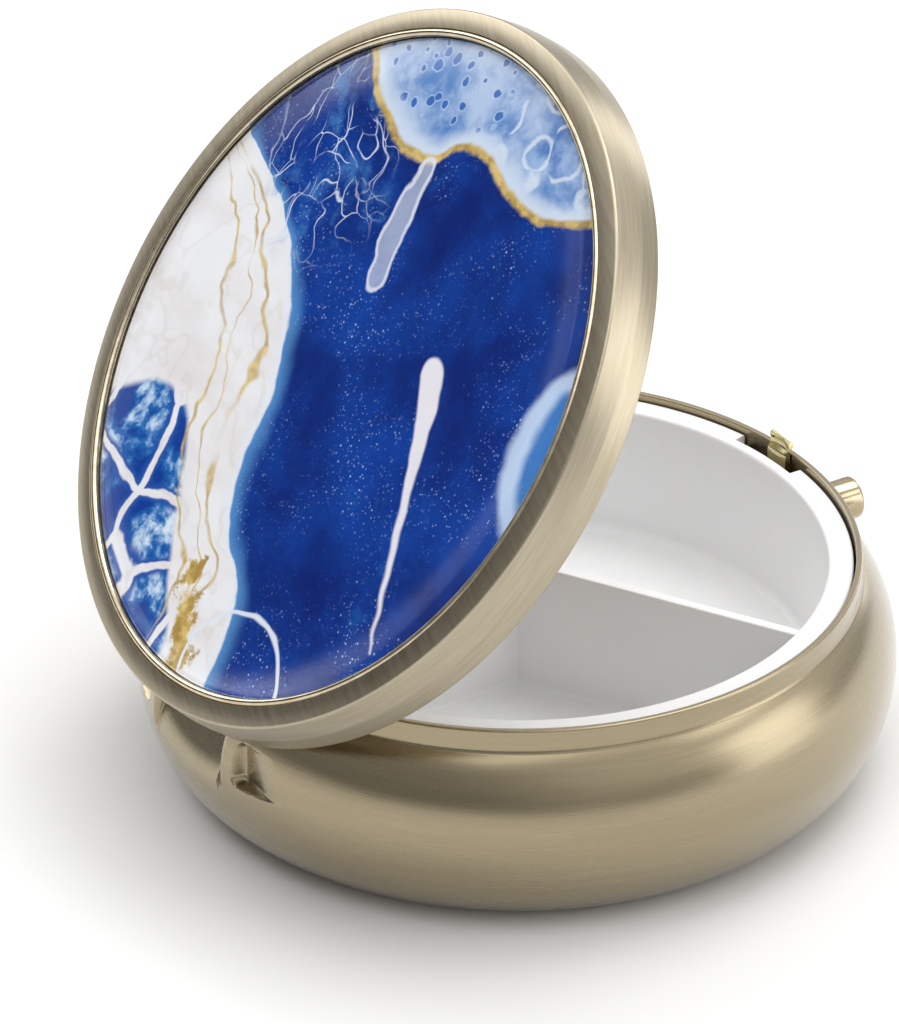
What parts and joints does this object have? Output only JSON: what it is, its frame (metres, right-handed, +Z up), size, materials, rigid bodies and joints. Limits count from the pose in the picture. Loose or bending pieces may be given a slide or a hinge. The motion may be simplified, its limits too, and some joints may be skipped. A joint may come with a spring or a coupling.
{
  "type": "pocket pill box",
  "caption": "Round metal pocket pill box with a bulged base, divided white tray, push-button latch and a hinged lid set with a printed disc under glass.",
  "frame": {"origin": "centre of the flat underside of the base, on the surface it stands on", "axes": "+Z up, +Y towards the hinge, -Y towards the push button; rest pose has the lid open 53 degrees"},
  "size_m": [0.05, 0.0539, 0.0513],
  "materials": {
    "brushed_metal": "brushed champagne-bronze plating, satin",
    "lid_metal": "brushed champagne-bronze plating, satin",
    "hinge_metal": "satin plating",
    "bead_metal": "polished bead",
    "polished_metal": "polished",
    "spring_brass": "bright polished spring brass",
    "steel": "plain drawn wire and washers",
    "white_plastic": "moulded, satin gloss",
    "print": null,
    "adhesive": "clear mounting adhesive film",
    "glass": "clear, low dome, fire-polished edge"
  },
  "bodies": {
    "base": {"base_shell": "brushed_metal", "bottom_plate": "brushed_metal", "base_hinge_leaf": "hinge_metal", "hinge_pin": "steel", "hinge_washer_left": "steel", "hinge_washer_right": "steel", "pill_tray": "white_plastic", "button_guide": "hinge_metal", "latch_rivet_1": "steel", "latch_rivet_2": "steel"},
    "lid": {"lid_shell": "lid_metal", "lid_hinge_leaf": "hinge_metal", "lid_catch": "spring_brass", "adhesive_disc": "adhesive", "printed_disc": "print", "glass_dome": "glass", "glass_ring": "bead_metal"},
    "button": {"push_button": "polished_metal", "button_clip": "steel"},
    "latch": {"latch_leaf": "spring_brass", "latch_hook": "spring_brass"}
  },
  "joints": [
    {"name": "lid_hinge", "type": "hinge", "parent": "base", "child": "lid", "pos_m": [0, 0.02194, 0.01103], "axis": [-1, 0, 0], "range_deg": [-53.26, 16.7]},
    {"name": "button_press", "type": "slide", "parent": "base", "child": "button", "axis": [0, 1, 0], "range_m": [0, 0.0006], "stiffness_N_per_m": 3000},
    {"name": "latch_flex", "type": "hinge", "parent": "base", "child": "latch", "pos_m": [0.00966, -0.01937, 0.01085], "axis": [0, 0, -1], "range_deg": [0, 3.7]}
  ],
  "couplings": [
    {"joint": "latch_flex", "follows": "button_press", "rad_per_m": 103.56}
  ]
}
